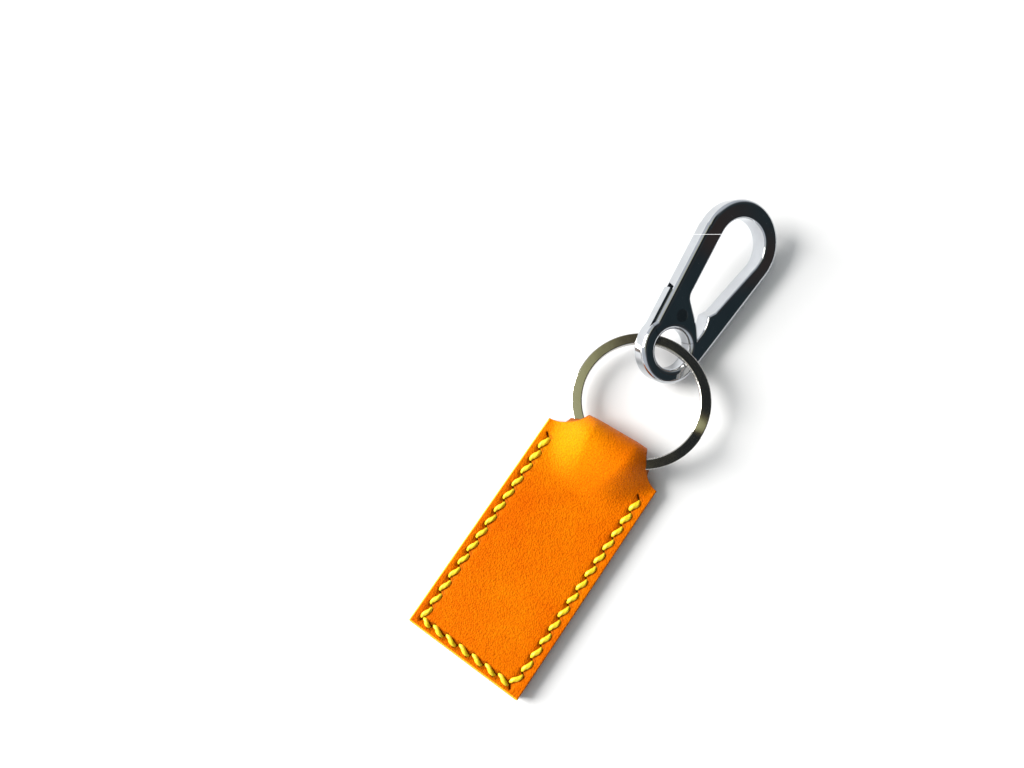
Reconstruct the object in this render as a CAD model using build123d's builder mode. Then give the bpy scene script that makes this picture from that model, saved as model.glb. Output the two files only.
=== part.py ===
from build123d import *
import os
from math import asin, atan2, cos, degrees, hypot, radians, sin, tan

os.makedirs("parts", exist_ok=True)

# Frame: +Y runs along the strap towards the clip, +Z is up, the strap's back lies on z = 0.

# ---------------- leather strap ----------------
strap_width = 32.0
strap_length = 60.0
strap_end_y = -66.7
neck_y = strap_end_y + strap_length
leather = 1.65
layer_gap = 0.10
tunnel_radius = 3.4
waist_width = 17.0
fold_reach = 7.4
scoop_mid_in = 5.0
scoop_mid_along = 2.8
tunnel_y = neck_y + fold_reach - tunnel_radius - leather
tunnel_z = leather + tunnel_radius
front_z = leather + layer_gap
front_top_z = front_z + leather
centre_slope = 35.0
centre_sweep = 12.0
side_tunnel_radius = 0.8
side_tunnel_y = neck_y + 3.5
side_slope = 30.0
side_sweep = 6.0
hump_half = 10.9
hump_end = 13.4
fold_trim = 0.2
side_trim = 1.0
plan_low = -1.0
plan_height = 14.0

# ---------------- saddle stitching ----------------
side_inset = 2.5
end_inset = 2.1
side_stitches = 14
end_stitches = 7
top_hole_inset = 4.0
thick_stitches = 2
thread_radius = 0.50
thick_radius = 0.66
thread_play = 0.06
stitch_slant = 15.0
front_thread_z = front_top_z - 0.15
back_thread_z = 0.72

# ---------------- split ring ----------------
ring_outer = 17.0
ring_inner = 14.4
coil = 1.0
coil_gap = 0.06
ring_x = 0.3
ring_y = neck_y + 16.0
ring_z = 5.85
ring_pitch = 2.9
ring_roll = -4.0
split_start = 1.0
split_sweep = 28.0
ramp_steps = 6
wire_round = 0.25

# ---------------- snap clip, in its own plane with the eye's centre at the origin ----------------
clip_thick = 5.0
clip_x = -1.35
clip_y = neck_y + 30.8
clip_z = 6.44
clip_turn = 6.9
clip_pitch = 6.5
clip_roll = 31.0
eye_hole = 5.0
eye_outer = 8.7
hook_x = 3.8
hook_y = 31.0
hook_outer = 11.4
hook_hole_x = 4.05
hook_hole_y = 30.95
hook_hole = 6.95
arm_inner_angle = 73.6
edge_round = 1.2
inner_round = 0.6
eye_round = 1.3
rim_tolerance = 0.01
pivot_x = -2.5
pivot_y = 8.2
pivot_clear = 8.0
foot_reach = 7.9
gate_left = -7.8
gate_foot_y = 3.0
gate_right = hook_hole_x - hook_hole
gate_bend_y = 13.2
claw_knee = (3.0, 8.0)
claw_bend = 3.0
notch_angle = -20.0
tip_angle = 25.6
ledge_y = 13.6
seam_angle = 30.0
seam_x = -5.0
seam_y = 29.3
seam_gap = 0.12
seam_inside_x = 1.0
gate_inside_x = 2.0
gate_inside_y = 20.2
tongue_thick = 2.4
tongue_play = 0.10
tongue_left = -8.5
tongue_top = 12.7
tongue_root_x = -6.2
tongue_root_y = 1.0
tongue_inner_x = -5.2
boss_radius = 3.1
rivet_radius = 1.6
rivet_play = 0.05
seat_play = 0.01
rivet_sink = 0.05
slot_top = 131.0
slot_low = 275.0
slot_reach = 20.0

# ---------------- gate spring ----------------
spring_wire = 0.25
spring_coil = 2.3
spring_height = 0.85
spring_leg = 4.2
spring_web_angle = 45.0
spring_play = 0.10


def strap_profile(radius, centre_y, slope, sweep):
    """Closed side outline of the folded strip: back layer, loop, slope down, front layer."""
    centre_z = leather + radius
    outer = radius + leather
    mid = radius + leather / 2
    front_mid = front_z + leather / 2
    s = sin(radians(slope))
    c = cos(radians(slope))
    straight = (centre_z + mid * c - front_mid - sweep * (1 - c)) / s
    flat_y = centre_y - mid * s - straight * c - sweep * s
    flat_centre_z = front_mid + sweep
    inside = sweep - leather / 2
    outside = sweep + leather / 2
    half = radians(slope / 2)
    outer_top = (centre_y - outer * s, centre_z + outer * c)
    inner_top = (centre_y - radius * s, centre_z + radius * c)
    outer_low = (flat_y + inside * s, flat_centre_z - inside * c)
    inner_low = (flat_y + outside * s, flat_centre_z - outside * c)
    outer_mid = (flat_y + inside * sin(half), flat_centre_z - inside * cos(half))
    inner_mid = (flat_y + outside * sin(half), flat_centre_z - outside * cos(half))
    Line((strap_end_y, 0), (centre_y, 0))
    ThreePointArc((centre_y, 0), (centre_y + outer, centre_z), (centre_y, centre_z + outer))
    ThreePointArc(
        (centre_y, centre_z + outer),
        (centre_y - outer * sin(half), centre_z + outer * cos(half)),
        outer_top,
    )
    Line(outer_top, outer_low)
    ThreePointArc(outer_low, outer_mid, (flat_y, front_top_z))
    Line((flat_y, front_top_z), (strap_end_y, front_top_z))
    Line((strap_end_y, front_top_z), (strap_end_y, front_z))
    Line((strap_end_y, front_z), (flat_y, front_z))
    ThreePointArc((flat_y, front_z), inner_mid, inner_low)
    Line(inner_low, inner_top)
    ThreePointArc(
        inner_top,
        (centre_y - radius * sin(half), centre_z + radius * cos(half)),
        (centre_y, centre_z + radius),
    )
    ThreePointArc((centre_y, centre_z + radius), (centre_y + radius, centre_z), (centre_y, leather))
    Line((centre_y, leather), (strap_end_y, leather))
    Line((strap_end_y, leather), (strap_end_y, 0))


def stitch_row():
    """Hole centres along the left side, the end and the right side, and each stitch's radius."""
    left = -strap_width / 2 + side_inset
    low = strap_end_y + end_inset
    high = neck_y - top_hole_inset
    holes = []
    for i in range(side_stitches):
        holes.append((left, high + (low - high) * i / side_stitches))
    for i in range(end_stitches):
        holes.append((left - 2 * left * i / end_stitches, low))
    for i in range(side_stitches + 1):
        holes.append((-left, low + (high - low) * i / side_stitches))
    count = len(holes) - 1
    radii = [thread_radius] * count
    for i in range(thick_stitches):
        radii[i] = thick_radius
        radii[count - 1 - i] = thick_radius
    return holes, radii


def stitches(play):
    """Every pass of the thread: a slanted bar front and back per stitch, a post through each hole."""
    holes, radii = stitch_row()
    passes = []
    for (x0, y0), (x1, y1), radius in zip(holes[:-1], holes[1:], radii):
        length = hypot(x1 - x0, y1 - y0)
        heading = degrees(atan2(y1 - y0, x1 - x0))
        for z, slant in ((front_thread_z, -stitch_slant), (back_thread_z, 0)):
            place = Location(((x0 + x1) / 2, (y0 + y1) / 2, z), (0, 0, heading + slant))
            passes.append(place * Cylinder(radius + play, length, rotation=(0, 90, 0)))
    post = front_thread_z - back_thread_z
    for x, y in holes:
        place = Location((x, y, (front_thread_z + back_thread_z) / 2))
        passes.append(place * Cylinder(thread_radius + play, post))
    return passes


with BuildPart() as leather_strap:
    with BuildSketch(Plane.YZ.offset(-hump_half)) as centre_outline:
        with BuildLine():
            strap_profile(tunnel_radius, tunnel_y, centre_slope, centre_sweep)
        make_face()
    extrude(amount=2 * hump_half)
    for side in (-1, 1):
        with BuildSketch(Plane.YZ.offset(side * hump_half)) as inner_outline:
            with BuildLine():
                strap_profile(tunnel_radius, tunnel_y, centre_slope, centre_sweep)
            make_face()
        with BuildSketch(Plane.YZ.offset(side * hump_end)) as side_outline:
            with BuildLine():
                strap_profile(side_tunnel_radius, side_tunnel_y, side_slope, side_sweep)
            make_face()
        loft(sections=[inner_outline.sketch, side_outline.sketch], ruled=True)
        with BuildSketch(Plane.YZ.offset(side * hump_end)):
            with BuildLine():
                strap_profile(side_tunnel_radius, side_tunnel_y, side_slope, side_sweep)
            make_face()
        extrude(amount=side * (strap_width / 2 + side_trim - hump_end))
    # Plan outline with the scooped neck.
    half = strap_width / 2
    waist = waist_width / 2
    fold_top = neck_y + fold_reach + fold_trim
    with BuildSketch(Plane.XY.offset(plan_low)):
        with BuildLine():
            Polyline((-half, neck_y), (-half, strap_end_y), (half, strap_end_y), (half, neck_y))
            ThreePointArc(
                (half, neck_y),
                (half - scoop_mid_in, neck_y + scoop_mid_along),
                (waist, fold_top),
            )
            Line((waist, fold_top), (-waist, fold_top))
            ThreePointArc(
                (-waist, fold_top),
                (-half + scoop_mid_in, neck_y + scoop_mid_along),
                (-half, neck_y),
            )
        make_face()
    extrude(amount=plan_height, mode=Mode.INTERSECT)

thread_passes = stitches(0)
with BuildPart() as saddle_thread:
    add(thread_passes)

strap_solid = leather_strap.part - stitches(thread_play)
strap_solid.label = "leather_strap"
export_step(strap_solid, "parts/leather_strap.step")

saddle_thread.part.label = "saddle_thread"
export_step(saddle_thread.part, "parts/saddle_thread.step")




# ---------------- split ring, drawn flat and placed in the fold at the end ----------------
ring_place = Location((ring_x, ring_y, ring_z)) * Location((0, 0, 0), (ring_pitch, 0, 0))
ring_place = ring_place * Location((0, 0, 0), (0, ring_roll, 0))
coil_lift = (coil + coil_gap) / 2
coil_width = ring_outer - ring_inner


def coil_section(angle, height):
    """The plane across the wire at this angle round the ring, its centre at this height."""
    middle = (ring_outer + ring_inner) / 2
    return Plane(Location((0, 0, 0), (0, 0, angle)) * Location((middle, 0, height), (90, 0, 0)))


with BuildPart() as split_ring:
    for height in (coil_lift, -coil_lift):
        with BuildSketch(coil_section(split_start + split_sweep, height)):
            RectangleRounded(coil_width, coil, wire_round)
        revolve(axis=Axis.Z, revolution_arc=360 - split_sweep)
    # The ramp joins the near end of the lower coil to the far end of the upper one.
    for step in range(ramp_steps + 1):
        share = step / ramp_steps
        height = -coil_lift + 2 * coil_lift * share * share * (3 - 2 * share)
        with BuildSketch(coil_section(split_start + split_sweep * share, height)):
            RectangleRounded(coil_width, coil, wire_round)
    loft()

placed_ring = ring_place * split_ring.part
placed_ring.label = "split_ring"
export_step(placed_ring, "parts/split_ring.step")


# ---------------- snap clip, drawn flat and placed on the ring at the end ----------------
clip_place = Location((clip_x, clip_y, clip_z)) * Location((0, 0, 0), (0, 0, clip_turn))
clip_place = clip_place * Location((0, 0, 0), (clip_pitch, 0, 0)) * Location((0, 0, 0), (0, clip_roll, 0))
clip_back = Plane.XY.offset(-clip_thick / 2)

axis_angle = degrees(atan2(hook_y, hook_x))
spread = degrees(asin((hook_outer - eye_outer) / hypot(hook_x, hook_y)))
outer_normal = radians(axis_angle - spread - 90)
eye_side = (eye_outer * cos(outer_normal), eye_outer * sin(outer_normal))
hook_side = (hook_x + hook_outer * cos(outer_normal), hook_y + hook_outer * sin(outer_normal))
arm_normal = radians(arm_inner_angle - 90)
arm_top = (hook_hole_x + hook_hole * cos(arm_normal), hook_hole_y + hook_hole * sin(arm_normal))
arm_run = (arm_top[1] - ledge_y) / sin(radians(arm_inner_angle))
ledge_high = (arm_top[0] - arm_run * cos(radians(arm_inner_angle)), ledge_y)


def about_pivot(reach, angle):
    """A point at this reach and angle from the gate's pivot, in the clip's plane."""
    return (pivot_x + reach * cos(radians(angle)), pivot_y + reach * sin(radians(angle)))


def seam(x, drop):
    """A point on the sloping seam between hook nose and gate tip."""
    return (x, seam_y + (x - seam_x) * tan(radians(seam_angle)) - drop)


def gate_side_outline(drop):
    """Everything on the gate's side of the seam, down to the pivot's level."""
    outside = gate_left - foot_reach
    Polyline(
        (outside, pivot_y),
        seam(outside, drop),
        seam(seam_inside_x, drop),
        (gate_inside_x, gate_inside_y),
        (pivot_x, pivot_y),
        (outside, pivot_y),
    )


def rims(edges):
    """The edges that lie in the clip's front or back face."""
    return edges.filter_by(lambda e: abs(abs(e.center().Z) - clip_thick / 2) < rim_tolerance)


# The whole closed clip, edges rounded, before it's divided into frame and gate.
notch = about_pivot(pivot_clear, notch_angle)
ledge_tip = about_pivot(pivot_clear, tip_angle)
with BuildPart() as closed_clip:
    with BuildSketch(clip_back):
        Circle(eye_outer)
        with Locations((hook_x, hook_y)):
            Circle(hook_outer)
        with BuildLine():
            Polyline((0, 0), eye_side, hook_side, (hook_x, hook_y), (0, 0))
        make_face()
        with BuildLine():
            Polyline((0, 0), (hook_x, hook_y), (gate_left, hook_y), (gate_left, gate_foot_y), (0, 0))
        make_face()
    extrude(amount=clip_thick)
    fillet(rims(closed_clip.edges()), radius=edge_round)
    with BuildSketch(clip_back):
        Circle(eye_hole)
    extrude(amount=clip_thick, mode=Mode.SUBTRACT)
    fillet(rims(closed_clip.edges(Select.LAST)), radius=eye_round)
    with BuildSketch(clip_back):
        with Locations((hook_hole_x, hook_hole_y)):
            Circle(hook_hole)
        with BuildLine():
            FilletPolyline(
                (gate_right, hook_hole_y),
                (gate_right, gate_bend_y),
                claw_knee,
                notch,
                radius=claw_bend,
            )
            ThreePointArc(notch, about_pivot(pivot_clear, 0), ledge_tip)
            Polyline(ledge_tip, ledge_high, arm_top, (hook_hole_x, hook_hole_y), (gate_right, hook_hole_y))
        make_face()
    extrude(amount=clip_thick, mode=Mode.SUBTRACT)
    fillet(rims(closed_clip.edges(Select.LAST)), radius=inner_round)


def tongue_outline():
    """The frame's thinner tongue: a pad up the outer side, narrowing to the pivot, rooted in the eye."""
    Polyline(
        (pivot_x, pivot_y),
        (pivot_x - (tongue_top - pivot_y), tongue_top),
        (tongue_left, tongue_top),
        (tongue_left, tongue_root_y),
        (tongue_root_x, -tongue_root_y),
        (tongue_inner_x, tongue_root_y),
        (pivot_x, pivot_y),
    )


# The spring's centreline: a leg in the gate's web, half a turn round the rivet, a leg along the tongue.
spring_plane = Plane.XY.offset(spring_height)
web_lean = radians(spring_web_angle)
web_touch = about_pivot(spring_coil, spring_web_angle)
web_end = (web_touch[0] - spring_leg * cos(web_lean), web_touch[1] + spring_leg * sin(web_lean))
tongue_touch = about_pivot(spring_coil, -90)
tongue_end = (tongue_touch[0] - spring_leg, tongue_touch[1])


def spring_line():
    """Leg, half turn and leg, in the clip's plane."""
    Line(web_end, web_touch)
    ThreePointArc(web_touch, about_pivot(spring_coil, (spring_web_angle - 90) / 2), tongue_touch)
    Line(tongue_touch, tongue_end)


with BuildPart() as gate_spring:
    with BuildLine(spring_plane) as spring_path:
        spring_line()
    with BuildSketch(Plane(origin=spring_path.line @ 0, z_dir=spring_path.line % 0)):
        Circle(spring_wire)
    sweep()

with BuildPart() as spring_room:
    with BuildSketch(Plane.XY.offset(spring_height - spring_wire - spring_play)):
        with BuildLine():
            spring_line()
        trace(line_width=2 * (spring_wire + spring_play))
    extrude(amount=tongue_thick / 2 - spring_height + spring_wire + spring_play + tongue_play)

with BuildPart() as clip_frame:
    add(closed_clip.part)
    with BuildSketch(clip_back):
        with BuildLine():
            gate_side_outline(0)
        make_face()
        with Locations((pivot_x, pivot_y)):
            Circle(pivot_clear)
    extrude(amount=clip_thick, mode=Mode.SUBTRACT)
    with BuildSketch(Plane.XY.offset(-tongue_thick / 2)):
        with BuildLine():
            tongue_outline()
        make_face()
        Circle(eye_hole + tongue_play, mode=Mode.SUBTRACT)
        with Locations((pivot_x, pivot_y)):
            Circle(boss_radius)
    extrude(amount=tongue_thick)
    with BuildSketch(clip_back):
        with Locations((pivot_x, pivot_y)):
            Circle(rivet_radius + rivet_play)
    extrude(amount=clip_thick, mode=Mode.SUBTRACT)
    add(spring_room.part, mode=Mode.SUBTRACT)

with BuildPart() as clip_gate:
    add(closed_clip.part)
    with BuildSketch(clip_back):
        with BuildLine():
            gate_side_outline(seam_gap)
        make_face()
        with Locations((pivot_x, pivot_y)):
            Circle(foot_reach)
    extrude(amount=clip_thick, mode=Mode.INTERSECT)
    with BuildSketch(Plane.XY.offset(-tongue_thick / 2 - tongue_play)):
        with BuildLine():
            Polyline(
                (pivot_x, pivot_y),
                about_pivot(slot_reach, slot_top),
                about_pivot(slot_reach, (slot_top + slot_low) / 2),
                about_pivot(slot_reach, slot_low),
                (pivot_x, pivot_y),
            )
        make_face()
        with Locations((pivot_x, pivot_y)):
            Circle(boss_radius + tongue_play)
    extrude(amount=tongue_thick + 2 * tongue_play, mode=Mode.SUBTRACT)
    with BuildSketch(clip_back):
        with Locations((pivot_x, pivot_y)):
            Circle(rivet_radius + seat_play)
    extrude(amount=clip_thick, mode=Mode.SUBTRACT)
    add(spring_room.part, mode=Mode.SUBTRACT)

with BuildPart() as gate_rivet:
    with BuildSketch(clip_back.offset(rivet_sink)):
        with Locations((pivot_x, pivot_y)):
            Circle(rivet_radius)
    extrude(amount=clip_thick - 2 * rivet_sink)

for name, piece in (
    ("clip_frame", clip_frame.part),
    ("clip_gate", clip_gate.part),
    ("gate_rivet", gate_rivet.part),
    ("gate_spring", gate_spring.part),
):
    placed = clip_place * piece
    placed.label = name
    export_step(placed, f"parts/{name}.step")
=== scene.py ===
import math

import bpy
import numpy as np
from mathutils import Matrix, Vector


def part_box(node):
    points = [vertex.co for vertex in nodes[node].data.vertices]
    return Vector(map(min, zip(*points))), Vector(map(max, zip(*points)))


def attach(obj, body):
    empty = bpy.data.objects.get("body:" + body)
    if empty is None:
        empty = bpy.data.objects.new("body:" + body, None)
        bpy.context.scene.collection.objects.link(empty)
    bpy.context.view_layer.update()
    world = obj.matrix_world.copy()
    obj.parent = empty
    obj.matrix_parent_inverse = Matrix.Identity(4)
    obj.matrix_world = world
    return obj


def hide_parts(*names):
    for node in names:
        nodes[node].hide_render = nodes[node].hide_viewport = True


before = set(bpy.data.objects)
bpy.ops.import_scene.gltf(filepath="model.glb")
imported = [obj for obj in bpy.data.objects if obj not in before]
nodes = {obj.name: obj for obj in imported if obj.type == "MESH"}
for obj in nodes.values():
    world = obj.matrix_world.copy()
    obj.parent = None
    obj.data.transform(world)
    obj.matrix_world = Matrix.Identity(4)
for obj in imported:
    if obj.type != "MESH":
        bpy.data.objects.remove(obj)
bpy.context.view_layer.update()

MM = 0.001


# ---------------- sizes, in millimetres ----------------
# The strap's outline. Its width, end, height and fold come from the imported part.
strap_low, strap_high = [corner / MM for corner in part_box("leather_strap")]
half_width = strap_high.x
strap_end = strap_low.y
strap_length = 60.0
neck_y = strap_end + strap_length

# The two layers and the fold.
leather = 1.65
layer_gap = 0.10
flat_top = 2 * leather + layer_gap
edge_round = 0.32
fold_radius = strap_high.z / 2
fold_slack = 0.6
fold_y = strap_high.y - fold_slack - fold_radius
fold_skew = 0.07
skew_run = 6
fold_squash = 0.10
unevenness = 0.03
back_tuck = 1.7
tuck_run = 1.2

# The hump over the ring, and the scooped neck.
hump_rise = strap_high.z - flat_top
hump_run = 14.2
widening_before_neck = 12
widening_run = 15
right_side_run = 6
inner_shoulder = 2.0
inner_widening = 3.0
outer_shoulder = 11.0
outer_widening = 4.5
right_widening = 0.8
steepest_slope_factor = 1.2
waist_half = 8.3
scoop_in = 4.9
scoop_along = 2.1
scoop_top = 6.9

# The holes and slits.
stitch_pitch = 3.85
side_inset = 2.5
end_inset = 2.1
side_stitches = 14
end_stitches = 7
first_end_stitch = 2.9
top_hole_inset = 4.0
slit_turn = math.radians(50)
slit_half = 0.95
corner_slit_half = 0.35

# What the stitching presses into the leather, and the shade round it.
stitch_reach = 4
groove_depth = 0.42
groove_width = 0.80
slit_depth = 0.85
slit_width = 0.24
back_press = 0.55
thread_shade = 0.55
thread_shade_offset = 0.45
thread_shade_width = 0.32
slit_shade_width = 0.30

# The thread: where each pass runs, and its thickness.
stitch_lateral = 0.42
stitch_tuck = 0.26
front_thread_level = flat_top + 0.02
back_thread_level = 0.52
back_thread_fat = 0.85
doubled_thread_fat = 1.16
doubled_passes = 2
thread_sink = 0.75
end_half_wide = 0.16
swell_half_wide = 0.42
end_half_high = 0.18
swell_half_high = 0.30
plies = 3
ply_ridge = 0.07
ply_turns = 2.2


def smooth(t):
    """0 below 0, 1 above 1, and an even slope between."""
    t = np.clip(t, 0.0, 1.0)
    return t * t * (3 - 2 * t)


# ---------------- stitch places ----------------
def stitch_holes():
    """Hole centres down the left side, across the end and up the right side."""
    left = -half_width + side_inset
    low = strap_end + end_inset
    high = neck_y - top_hole_inset
    centres = []
    for i in range(side_stitches):
        centres.append((left, high + (low - high) * i / side_stitches))
    centres.append((left, low))
    for i in range(end_stitches):
        centres.append((left + first_end_stitch + stitch_pitch * i, low))
    for i in range(1, side_stitches + 1):
        centres.append((-left, low + (high - low) * i / side_stitches))
    return np.array(centres)


def slit_bars(holes):
    """Both ends of each slit, which leans from its row's own heading."""
    bars = []
    for i, hole in enumerate(holes):
        start = min(i, len(holes) - 2)
        way = holes[start + 1] - holes[start]
        lean = math.atan2(way[1], way[0]) + slit_turn
        reach = corner_slit_half if i == side_stitches else slit_half
        half_slit = reach * np.array([math.cos(lean), math.sin(lean)])
        bars.append((hole - half_slit, hole + half_slit))
    return bars


def left_of(a, b):
    """The unit direction to the left of the way from a to b."""
    way = (b - a) / np.linalg.norm(b - a)
    return np.array([-way[1], way[0]])


def thread_bar(a, b):
    """Both ends of the line that the thread takes from hole a to hole b."""
    aside = stitch_lateral * left_of(a, b)
    return a + aside, b - aside


holes = stitch_holes()
hole_pairs = list(zip(holes[:-1], holes[1:]))
slits = slit_bars(holes)
thread_bars = [thread_bar(a, b) for a, b in hole_pairs]


def distance_to_bar(x, y, a, b):
    """Distance from each point to the segment from a to b."""
    ab = b - a
    t = np.clip(((x - a[0]) * ab[0] + (y - a[1]) * ab[1]) / (ab @ ab), 0, 1)
    return np.hypot(x - a[0] - t * ab[0], y - a[1] - t * ab[1])


def raise_near_bars(values, x, y, bars, amount, offset, width):
    """Raises values to the amount at the offset from each bar, fading over the width."""
    for a, b in bars:
        middle = (a + b) / 2
        near = (np.abs(x - middle[0]) < stitch_reach) & (np.abs(y - middle[1]) < stitch_reach)
        if near.any():
            away = distance_to_bar(x[near], y[near], a, b) - offset
            values[near] = np.maximum(values[near], amount * np.exp(-((away / width) ** 2)))


def stitch_dent(x, y):
    """How deep the stitching presses into the leather at each point."""
    dent = np.zeros_like(x)
    raise_near_bars(dent, x, y, hole_pairs, groove_depth, 0.0, groove_width)
    raise_near_bars(dent, x, y, slits, slit_depth, 0.0, slit_width)
    return dent


def stitch_shade(x, y):
    """Where the leather is dark: inside each slit and along the sides of the thread."""
    shade = np.zeros_like(x)
    raise_near_bars(shade, x, y, thread_bars, thread_shade, thread_shade_offset, thread_shade_width)
    raise_near_bars(shade, x, y, slits, 1.0, 0.0, slit_shade_width)
    return shade


# ---------------- leather strap ----------------
def circle_through(a, b, c):
    """Centre and radius of the circle through three points."""
    rows = np.array([[b[0] - a[0], b[1] - a[1]], [c[0] - a[0], c[1] - a[1]]])
    right = 0.5 * np.array([b @ b - a @ a, c @ c - a @ a])
    centre = np.linalg.solve(rows, right)
    return centre, np.linalg.norm(a - centre)


scoop_centre, scoop_radius = circle_through(
    np.array([half_width, neck_y]),
    np.array([half_width - scoop_in, neck_y + scoop_along]),
    np.array([waist_half, neck_y + scoop_top]),
)


def half_outline(y):
    """Half the strap's width at each place along it."""
    rise = np.clip(y, neck_y, neck_y + scoop_top) - scoop_centre[1]
    scooped = scoop_centre[0] - np.sqrt(np.maximum(scoop_radius ** 2 - rise ** 2, 0))
    return np.where(y <= neck_y, half_width, scooped)


def hump_share(x, y):
    """How much of the hump's height there is: full at the loop, fading to the stitched sides."""
    along = smooth((y - (fold_y - hump_run)) / hump_run)
    widening = smooth((y - (neck_y - widening_before_neck)) / widening_run)
    right_side = widening * smooth(x / right_side_run)
    shoulder_in = inner_shoulder + inner_widening * widening
    shoulder_out = outer_shoulder + outer_widening * widening + right_widening * right_side
    across = 1 - smooth((np.abs(x) - shoulder_in) / (shoulder_out - shoulder_in))
    return along * across


def wander(x, y):
    """A slight waviness of the hand-made surface."""
    return unevenness * np.sin(0.31 * x + 0.11 * y + 0.7) * np.sin(0.17 * y - 0.09 * x)


def front_height(x, y):
    """The front surface: flat where stitched, rising into the hump."""
    return flat_top + hump_rise * hump_share(x, y) + wander(x, y)


def station_rows():
    """Stations along the folded strip: up the back layer, round the fold, down the front layer."""
    rows = []
    coarse = 1.0
    fine = 0.21
    fold_stations = 37
    step_off_fold = 0.3
    y = strap_end
    while y < fold_y:
        rows.append(("back", y))
        y += fine if y < neck_y else coarse
    for angle in np.linspace(-90, 90, fold_stations):
        rows.append(("fold", math.radians(angle)))
    y = fold_y - step_off_fold
    while y > strap_end:
        rows.append(("front", y))
        y -= fine
    rows.append(("front", strap_end))
    return rows


def outer_surface(kind, value, x):
    """Points (y, z) on the strip's outer surface at this station for each x."""
    if kind == "back":
        return np.full_like(x, value), np.zeros_like(x)
    if kind == "front":
        y = np.full_like(x, value)
        return y, front_height(x, y)
    at_fold = np.full_like(x, fold_y)
    middle = front_height(x, at_fold) / 2
    squash = 1 - fold_squash * (1 - hump_share(x, at_fold))
    y = fold_y + fold_radius * squash * math.cos(value)
    return y, middle + middle * math.sin(value)


def corner_place(side, turn, inner=False):
    """A place on a rounded rim, from a face at turn 0 to the cut side at a quarter turn."""
    inset = edge_round * (1 - math.sin(turn))
    depth = edge_round * (1 - math.cos(turn))
    return (side, inset, leather - depth if inner else depth)


def ring_offsets():
    """Across the strip and back: signed share of half width, distance in from the side, and depth."""
    columns = 150
    inner_columns = 30
    corners = 5
    quarter = math.pi / 2
    places = [(-1 + 2 * i / columns, edge_round, 0.0) for i in range(columns + 1)]
    places += [corner_place(1, quarter * i / corners) for i in range(1, corners + 1)]
    places.append((1, 0.0, leather / 2))
    places += [corner_place(1, quarter * (1 - i / corners), inner=True) for i in range(corners + 1)]
    places += [(1 - 2 * i / inner_columns, edge_round, leather) for i in range(1, inner_columns)]
    places += [corner_place(-1, quarter * i / corners, inner=True) for i in range(corners + 1)]
    places.append((-1, 0.0, leather / 2))
    places += [corner_place(-1, quarter * (1 - i / corners)) for i in range(corners)]
    return np.array(places)


def strip_half_width(kind, value):
    """Half the strip's width at a station: the back layer is tucked in under the fold."""
    y_here = value
    tucked = 0.0
    if kind == "fold":
        y_here = fold_y + fold_radius * math.cos(value)
        tucked = 1 - float(smooth(1 + 2 * value / math.pi))
    if kind == "back":
        tucked = float(smooth((y_here - neck_y) / tuck_run))
    return float(half_outline(np.array(y_here))) - back_tuck * tucked


def lay_outer_skin(stations, share, inset):
    """The strip's outer surface as grids of x, y and z, with a row for each station."""
    rows = []
    for kind, value in stations:
        x = share * (strip_half_width(kind, value) - inset)
        y, z = outer_surface(kind, value, x)
        rows.append((x, y + fold_skew * x * smooth((y - neck_y) / skew_run), z))
    return [np.array(grid) for grid in zip(*rows)]


def give_thickness(y, z, depth, front):
    """Moves each point of the skin into the leather by its depth."""
    along_y = np.gradient(y, axis=0)
    along_z = np.gradient(z, axis=0)
    length = np.hypot(along_y, along_z)
    # The stations run up the back and down the front, so this normal points out of the strip.
    out_y = along_z / length
    out_z = -along_y / length
    # The front layer's thickness is taken straight down, with a little more on its slope.
    out_z[front] = np.minimum(1 / out_z[front], steepest_slope_factor)
    out_y[front] = 0
    return y - out_y * depth, z - out_z * depth


def round_cut_ends(x, z, stations, depth, front, back):
    """Rounds the rims of both layers' cut ends, in place."""
    along = np.array([value for _, value in stations])
    end_near = np.clip(1 - (along - strap_end) / edge_round, 0, 1)
    drop = edge_round * (1 - np.sqrt(np.maximum(1 - end_near ** 2, 0)))
    lean = 1 - 2 * depth / leather
    for row in np.nonzero((front | back) & (end_near > 0))[0]:
        sign = -1 if front[row] else 1
        z[row] += sign * drop[row] * lean
        x[row] -= np.sign(x[row]) * drop[row]


def strip_faces(rows, around):
    """Quads round and along the strip, and a face over each end."""
    faces = []
    for row in range(rows - 1):
        base = row * around
        for i in range(around):
            j = (i + 1) % around
            faces.append((base + i, base + around + i, base + around + j, base + j))
    faces.append(tuple(range(around)))
    last = (rows - 1) * around
    faces.append(tuple(last + i for i in reversed(range(around))))
    return faces


def mesh_object(name, points, faces):
    """A smooth-shaded mesh piece from points in millimetres."""
    mesh = bpy.data.meshes.new(name)
    mesh.from_pydata([tuple(p) for p in np.asarray(points) * MM], [], faces)
    mesh.update()
    mesh.polygons.foreach_set("use_smooth", [True] * len(mesh.polygons))
    piece = bpy.data.objects.new(name, mesh)
    bpy.context.scene.collection.objects.link(piece)
    return piece


def build_strap():
    """The folded leather strip as one closed sheet with rounded edges and pressed stitch lines."""
    share, inset, depth = ring_offsets().T
    stations = station_rows()
    front = np.array([kind == "front" for kind, _ in stations])
    back = np.array([kind == "back" for kind, _ in stations])
    x, y, z = lay_outer_skin(stations, share, inset)
    y, z = give_thickness(y, z, depth, front)
    round_cut_ends(x, z, stations, depth, front, back)
    # Only the outer skin takes the press of the stitching.
    skin = depth < edge_round * 0.5
    pressed = stitch_dent(x, y) * skin
    z[front] -= pressed[front]
    z[back] += back_press * pressed[back]
    points = np.stack([x, y, z], axis=2).reshape(-1, 3)
    return mesh_object("leather_body", points, strip_faces(len(stations), len(depth)))


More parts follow.
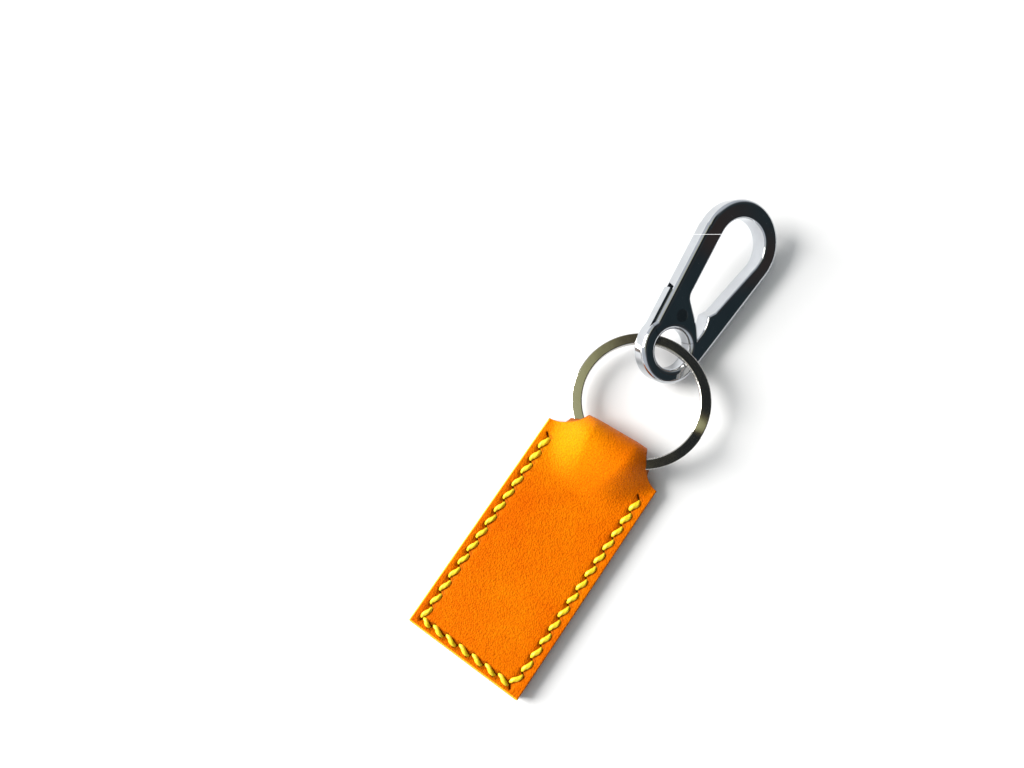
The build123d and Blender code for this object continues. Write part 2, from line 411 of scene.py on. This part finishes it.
def paint_strap(strap):
    """Marks the rims, lighter from wear and painted highlight; the cut sides, with painted shade on the right
    rim; the stitch shade; and a patch by the neck, partly rubbed and partly painted highlight.
    """
    _, inset, depth = ring_offsets().T
    count = len(strap.data.vertices)
    rows = count // len(depth)
    place = np.zeros(count * 3, np.float32)
    strap.data.vertices.foreach_get("co", place)
    x, y, z = place.reshape(-1, 3).T / MM

    # Which places of a row are on a rim, on a cut side or on the skin.
    near_side = inset < edge_round * 0.98
    shallow = depth < edge_round * 0.8
    wear_and_highlight = np.tile((near_side & shallow).astype(np.float32), rows)
    cut_and_shade = np.tile((near_side & ~shallow).astype(np.float32), rows)
    on_skin = np.tile((depth < edge_round).astype(np.float32), rows)

    # The cut end has an upper rim made lighter, partly as wear and partly as painted highlight, and a
    # burnished face.
    at_end = y < strap_end + edge_round * 1.1
    on_top = z > flat_top - edge_round * 0.9
    wear_and_highlight = np.where(at_end & on_top, 1.0, wear_and_highlight)
    cut_and_shade = np.where(at_end & ~on_top, 1.0, cut_and_shade)

    # The right rim and the rim past the neck get the darker burnished colour, not the lighter one; on the
    # right rim, which faces away from the light, it is painted shade.
    light_rim_end = neck_y - 1.0
    light_rim_fade = 1.5
    light_rim = np.where((x > 0) & ~at_end, 0.0, 1.0) * (1 - smooth((y - light_rim_end) / light_rim_fade))
    burnish_and_shade = 0.6
    cut_and_shade = np.maximum(cut_and_shade, wear_and_highlight * (1 - light_rim) * burnish_and_shade)
    wear_and_highlight = wear_and_highlight * light_rim

    shade = stitch_shade(x, y) * on_skin * (y < neck_y)
    # A lighter patch on the hump by the neck: partly rubbed leather, partly painted highlight where the hump
    # faces the light.
    rubbed_and_lit_x = -8
    rubbed_and_lit_y = neck_y - 2
    rubbed_and_lit_reach = 9
    rubbed_and_lit = np.exp(-(((x - rubbed_and_lit_x) / rubbed_and_lit_reach) ** 2 + ((y - rubbed_and_lit_y) / rubbed_and_lit_reach) ** 2))
    for name, values in (("edge_wear_and_highlight", wear_and_highlight), ("cut_side_and_shade", cut_and_shade), ("stitch_shade", shade), ("rubbed_and_lit", rubbed_and_lit)):
        attribute = strap.data.attributes.new(name, "FLOAT", "POINT")
        attribute.data.foreach_set("value", values.astype(np.float32))


# ---------------- saddle stitching ----------------
def thread_line(a, b, level, up, fat):
    """Centres along one pass from hole a to hole b, and how far the thread swells at each."""
    steps = 26
    end_margin = 0.02
    roundness = 0.55
    length = np.linalg.norm(b - a)
    heading = (b - a) / length
    centres = []
    swells = []
    for i in range(steps + 1):
        t = i / steps
        across = stitch_lateral * math.cos(math.pi * float(smooth(t)))
        along = stitch_tuck + (length - 2 * stitch_tuck) * t
        inside = min(max((t + end_margin) / (1 + 2 * end_margin), 0.001), 0.999)
        swell = math.sin(math.pi * inside) ** roundness
        height = level + up * thread_sink * fat * (swell - 1.0)
        centres.append((*(a + heading * along + left_of(a, b) * across), height))
        swells.append(swell)
    return np.array(centres), swells


def stitch_tube(a, b, level, up, fat):
    """One pass of thread: it rises out of one slit, leans across the row and dives into the next."""
    around = 16
    centres, swells = thread_line(a, b, level, up, fat)
    steps = len(centres) - 1
    points = []
    for i in range(steps + 1):
        run = centres[min(i + 1, steps)] - centres[max(i - 1, 0)]
        run = run / np.linalg.norm(run)
        flat = np.cross(run, (0, 0, 1))
        flat = flat / np.linalg.norm(flat)
        rise = np.cross(flat, run)
        half_wide = fat * (end_half_wide + swell_half_wide * swells[i])
        half_high = fat * (end_half_high + swell_half_high * swells[i])
        for j in range(around):
            turn = 2 * math.pi * j / around
            ply = 1 + ply_ridge * math.cos(plies * turn - ply_turns * i / steps * 2 * math.pi)
            offset = half_wide * math.cos(turn) * flat + half_high * math.sin(turn) * rise
            points.append(centres[i] + ply * offset)
    faces = []
    for i in range(steps):
        for j in range(around):
            k = (j + 1) % around
            faces.append((i * around + j, i * around + k, (i + 1) * around + k, (i + 1) * around + j))
    faces.append(tuple(reversed(range(around))))
    faces.append(tuple(steps * around + j for j in range(around)))
    return points, faces


def build_stitches():
    """All the passes, front and back, as one piece of thread."""
    points = []
    faces = []
    last = len(hole_pairs) - doubled_passes
    for i, (a, b) in enumerate(hole_pairs):
        # The thread's two ends are sewn over again, so the front passes there are thicker.
        front_fat = doubled_thread_fat if i < doubled_passes or i >= last else 1.0
        for level, up, fat in (
            (front_thread_level, 1, front_fat),
            (back_thread_level, -1, back_thread_fat),
        ):
            tube, skin = stitch_tube(a, b, level, up, fat)
            base = len(points)
            points.extend(tube)
            faces.extend(tuple(base + v for v in face) for face in skin)
    return mesh_object("stitching", points, faces)


# ---------------- shader helpers ----------------
def new_material(name):
    """A node material with its Principled shader ready to wire."""
    material = bpy.data.materials.new(name)
    material.use_nodes = True
    tree = material.node_tree
    shader = tree.nodes["Principled BSDF"]
    return material, tree, shader


def object_coordinates(tree):
    """Coordinates in metres in the part's own frame."""
    return tree.nodes.new("ShaderNodeTexCoord").outputs["Object"]


def painted(tree, name):
    """A value painted on the mesh by paint_strap."""
    made = tree.nodes.new("ShaderNodeAttribute")
    made.attribute_name = name
    return made.outputs["Fac"]


def noise(tree, place, scale, detail, rough):
    """A noise texture's value."""
    made = tree.nodes.new("ShaderNodeTexNoise")
    made.inputs["Scale"].default_value = scale
    made.inputs["Detail"].default_value = detail
    made.inputs["Roughness"].default_value = rough
    tree.links.new(place, made.inputs["Vector"])
    return made.outputs["Fac"]


def grey(level):
    """A colour with no hue."""
    return (level, level, level)


def ramp(tree, value, stops):
    """A colour ramp over a value."""
    made = tree.nodes.new("ShaderNodeValToRGB")
    elements = made.color_ramp.elements
    while len(elements) < len(stops):
        elements.new(0.5)
    for element, (place, colour) in zip(elements, stops):
        element.position = place
        element.color = (*colour, 1.0)
    tree.links.new(value, made.inputs["Fac"])
    return made.outputs["Color"]


def mix_colour(tree, share, a, b, kind="MIX"):
    """Two colours mixed by a share."""
    made = tree.nodes.new("ShaderNodeMix")
    made.data_type = "RGBA"
    made.blend_type = kind
    if isinstance(share, float):
        made.inputs["Factor"].default_value = share
    else:
        tree.links.new(share, made.inputs["Factor"])
    # The Mix node's colour sockets share their names with its other kinds, so they go by number.
    colour_a, colour_b, colour_result = 6, 7, 2
    for value, socket in ((a, made.inputs[colour_a]), (b, made.inputs[colour_b])):
        if isinstance(value, tuple):
            socket.default_value = (*value, 1.0)
        else:
            tree.links.new(value, socket)
    return made.outputs[colour_result]


def bump(tree, height, strength, distance, under=None):
    """A bump from a height value."""
    made = tree.nodes.new("ShaderNodeBump")
    made.inputs["Strength"].default_value = strength
    made.inputs["Distance"].default_value = distance
    tree.links.new(height, made.inputs["Height"])
    if under is not None:
        tree.links.new(under, made.inputs["Normal"])
    return made.outputs["Normal"]


# ---------------- materials ----------------
def leather_colour(tree, place, speckle):
    """Mottled dye, with a lighter patch and lighter rims, each partly wear and partly painted highlight,
    burnished sides with painted shade on the right rim, and painted stitch shade over it.
    """
    deep = (0.70, 0.118, 0.0003)
    orange = (0.735, 0.148, 0.0004)
    bright = (0.77, 0.180, 0.0006)
    # The rubbed and worn colours are partly painted highlight, the burnished colour also serves as painted
    # shade on the right rim, and the shaded colour is painted shade.
    rubbed_and_lit = (0.77, 0.255, 0.0008)
    worn_and_lit = (0.90, 0.52, 0.03)
    burnished_and_shaded = (0.30, 0.07, 0.004)
    shaded = (0.10, 0.022, 0.001)
    clouds = noise(tree, place, scale=70, detail=4, rough=0.6)
    colour = ramp(tree, clouds, [(0.30, deep), (0.52, orange), (0.76, bright)])
    colour = mix_colour(tree, painted(tree, "rubbed_and_lit"), colour, rubbed_and_lit)
    pores = ramp(tree, speckle, [(0.38, (0.80, 0.68, 0.55)), (0.56, (1.05, 1.08, 1.0))])
    colour = mix_colour(tree, 0.75, colour, pores, "MULTIPLY")
    colour = mix_colour(tree, painted(tree, "edge_wear_and_highlight"), colour, worn_and_lit)
    colour = mix_colour(tree, painted(tree, "cut_side_and_shade"), colour, burnished_and_shaded)
    return mix_colour(tree, painted(tree, "stitch_shade"), colour, shaded)


def leather_material():
    """Dyed vegetable-tanned leather: fine pebbled grain, mottled orange dye, yellower edges from wear and
    painted highlight.
    """
    material, tree, shader = new_material("orange_leather")
    place = object_coordinates(tree)
    speckle = noise(tree, place, scale=2500, detail=3, rough=0.6)
    tree.links.new(leather_colour(tree, place, speckle), shader.inputs["Base Color"])
    rough = ramp(tree, speckle, [(0.3, grey(0.48)), (0.7, grey(0.60))])
    tree.links.new(rough, shader.inputs["Roughness"])
    shader.inputs["Specular IOR Level"].default_value = 0.25
    shader.inputs["Specular Tint"].default_value = (1.0, 0.42, 0.03, 1.0)
    cells = tree.nodes.new("ShaderNodeTexVoronoi")
    cells.feature = "F1"
    cells.inputs["Scale"].default_value = 2600
    tree.links.new(place, cells.inputs["Vector"])
    grain = bump(tree, cells.outputs["Distance"], strength=0.60, distance=0.20 * MM)
    creases = noise(tree, place, scale=900, detail=4, rough=0.6)
    wrinkle = bump(tree, creases, strength=0.22, distance=0.20 * MM, under=grain)
    tree.links.new(wrinkle, shader.inputs["Normal"])
    return material


def thread_material():
    """Waxed lemon-yellow thread with fine fibres."""
    material, tree, shader = new_material("waxed_thread")
    place = object_coordinates(tree)
    fibres = noise(tree, place, scale=2600, detail=3, rough=0.6)
    colour = ramp(tree, fibres, [(0.3, (0.78, 0.50, 0.004)), (0.65, (0.95, 0.76, 0.025))])
    tree.links.new(colour, shader.inputs["Base Color"])
    shader.inputs["Roughness"].default_value = 0.42
    shader.inputs["Specular IOR Level"].default_value = 0.5
    shader.inputs["Subsurface Weight"].default_value = 0.1
    shader.inputs["Subsurface Radius"].default_value = (0.0006, 0.0004, 0.0001)
    raised = bump(tree, fibres, strength=0.35, distance=0.12 * MM)
    tree.links.new(raised, shader.inputs["Normal"])
    return material


def metal_material(name, colour, roughness, marks):
    """Polished plated metal with faint polishing marks and smudges."""
    material, tree, shader = new_material(name)
    place = object_coordinates(tree)
    shader.inputs["Metallic"].default_value = 1.0
    smudge = noise(tree, place, scale=160, detail=4, rough=0.6)
    duller = tuple(c * 0.90 for c in colour)
    tone = ramp(tree, smudge, [(0.35, duller), (0.65, colour)])
    tree.links.new(tone, shader.inputs["Base Color"])
    rough = tree.nodes.new("ShaderNodeMapRange")
    rough.inputs["To Min"].default_value = roughness * 0.7
    rough.inputs["To Max"].default_value = roughness * 1.6
    tree.links.new(smudge, rough.inputs["Value"])
    tree.links.new(rough.outputs["Result"], shader.inputs["Roughness"])
    polish = noise(tree, place, scale=420, detail=2, rough=0.5)
    marked = bump(tree, polish, strength=marks, distance=0.05 * MM)
    tree.links.new(marked, shader.inputs["Normal"])
    return material


def card_material():
    """Smooth white card."""
    material, tree, shader = new_material("white_card")
    place = object_coordinates(tree)
    clouds = noise(tree, place, scale=30, detail=2, rough=0.5)
    tone = ramp(tree, clouds, [(0.3, (0.90, 0.90, 0.905)), (0.7, grey(0.93))])
    tree.links.new(tone, shader.inputs["Base Color"])
    shader.inputs["Roughness"].default_value = 0.9
    shader.inputs["Specular IOR Level"].default_value = 0.1
    return material


# ---------------- assemble ----------------
strap = build_strap()
paint_strap(strap)
strap.data.materials.append(leather_material())
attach(strap, "strap")
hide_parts("leather_strap")

stitching = build_stitches()
stitching.data.materials.append(thread_material())
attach(stitching, "strap")
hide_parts("saddle_thread")

clip_metal = metal_material("polished_clip", (0.58, 0.60, 0.63), roughness=0.06, marks=0.03)
ring_metal = metal_material("ring_steel", (0.60, 0.58, 0.54), roughness=0.10, marks=0.08)
rivet_metal = metal_material("rivet_steel", (0.34, 0.35, 0.37), roughness=0.14, marks=0.0)
spring_metal = metal_material("spring_steel", grey(0.50), roughness=0.25, marks=0.10)
for node, metal in (
    ("clip_frame", clip_metal),
    ("clip_gate", clip_metal),
    ("split_ring", ring_metal),
    ("gate_rivet", rivet_metal),
    ("gate_spring", spring_metal),
):
    mesh = nodes[node].data
    mesh.materials.clear()
    mesh.materials.append(metal)


# ---------------- floor ----------------
floor_side = 1800 * MM
floor_drop = 0.05 * MM
bpy.ops.mesh.primitive_plane_add(size=floor_side, location=(0, 0, -floor_drop))
floor = bpy.context.object
floor.name = "floor"
floor.data.materials.append(card_material())


# ---------------- camera ----------------
picture_turn = math.radians(34.66)
tilt_up = math.radians(9.14)
tilt_side = math.radians(2.08)
camera_x = -6.1
camera_y = strap_end + 41.1
camera_height = 188.0
camera_data = bpy.data.cameras.new("camera")
camera_data.sensor_width = 36.0
camera_data.lens = 26.0
camera_data.clip_start = 5 * MM
camera = bpy.data.objects.new("camera", camera_data)
camera.matrix_world = (
    Matrix.Translation(Vector((camera_x, camera_y, camera_height)) * MM)
    @ Matrix.Rotation(picture_turn, 4, "Z")
    @ Matrix.Rotation(tilt_up, 4, "X")
    @ Matrix.Rotation(tilt_side, 4, "Y")
)
bpy.context.scene.collection.objects.link(camera)
bpy.context.scene.camera = camera


# ---------------- light ----------------
# Fixed directions on the table, which run right and up in the main view.
table_right = Vector((math.cos(picture_turn), math.sin(picture_turn), 0))
table_up = Vector((-math.sin(picture_turn), math.cos(picture_turn), 0))
window_right = -700
window_up = 160
window_height = 440
window_side = 500


def window_light():
    """A square soft light to the left, aimed at the middle of the object."""
    data = bpy.data.lights.new("window", "AREA")
    data.shape = "SQUARE"
    data.size = window_side * MM
    data.energy = 14.0
    data.color = (1.0, 0.985, 0.96)
    lamp = bpy.data.objects.new("window", data)
    place = table_right * window_right + table_up * window_up + Vector((0, 0, window_height))
    lamp.location = place * MM
    lamp.rotation_euler = (-lamp.location).to_track_quat("-Z", "Y").to_euler()
    bpy.context.scene.collection.objects.link(lamp)


def dot_share(tree, direction, towards):
    """How far a direction points towards another one: 0 away, 1 straight at it."""
    product = tree.nodes.new("ShaderNodeVectorMath")
    product.operation = "DOT_PRODUCT"
    product.inputs[1].default_value = Vector(towards).normalized()
    tree.links.new(direction, product.inputs[0])
    share = tree.nodes.new("ShaderNodeMath")
    share.operation = "MULTIPLY_ADD"
    share.inputs[1].default_value = 0.5
    share.inputs[2].default_value = 0.5
    tree.links.new(product.outputs["Value"], share.inputs[0])
    return share.outputs[0]


def wall_colour(tree, direction):
    """Pale walls all round and one dark wall that the clip's face mirrors, all faintly tinted."""
    dark_wall = (0.85, 0.32, 0.42)
    stops = [
        (0.0, (0.92, 0.94, 0.98)),
        (0.74, (0.80, 0.83, 0.88)),
        (0.88, grey(0.05)),
        (1.0, grey(0.0)),
    ]
    clouds = noise(tree, direction, scale=7, detail=2, rough=0.5)
    tint = ramp(tree, clouds, [(0.52, (0.030, 0.046, 0.054)), (0.68, (0.060, 0.044, 0.040))])
    wall = ramp(tree, dot_share(tree, direction, dark_wall), stops)
    return mix_colour(tree, 1.0, wall, tint, "ADD")


def ceiling_colour(tree, direction):
    """A ceiling pale to the left and dim to the right, yellow-green and brown between."""
    stops = [
        (0.40, (0.92, 0.92, 0.84)),
        (0.445, (0.80, 0.82, 0.42)),
        (0.465, (0.17, 0.14, 0.09)),
        (0.485, (0.048, 0.044, 0.042)),
        (0.50, (0.028, 0.034, 0.040)),
    ]
    return ramp(tree, dot_share(tree, direction, table_right), stops)


def studio_world():
    """The room round the object: its walls, and its ceiling straight above."""
    world = bpy.data.worlds.new("studio")
    world.use_nodes = True
    tree = world.node_tree
    direction = tree.nodes.new("ShaderNodeTexCoord").outputs["Generated"]
    walls = wall_colour(tree, direction)
    ceiling = ceiling_colour(tree, direction)
    upward = dot_share(tree, direction, (0, 0, 1))
    height = ramp(tree, upward, [(0.88, grey(0)), (0.955, grey(1))])
    room = mix_colour(tree, height, walls, ceiling)
    background = tree.nodes["Background"]
    tree.links.new(room, background.inputs["Color"])
    background.inputs["Strength"].default_value = 0.78
    bpy.context.scene.world = world


window_light()
studio_world()
bpy.context.scene.view_settings.view_transform = "Standard"
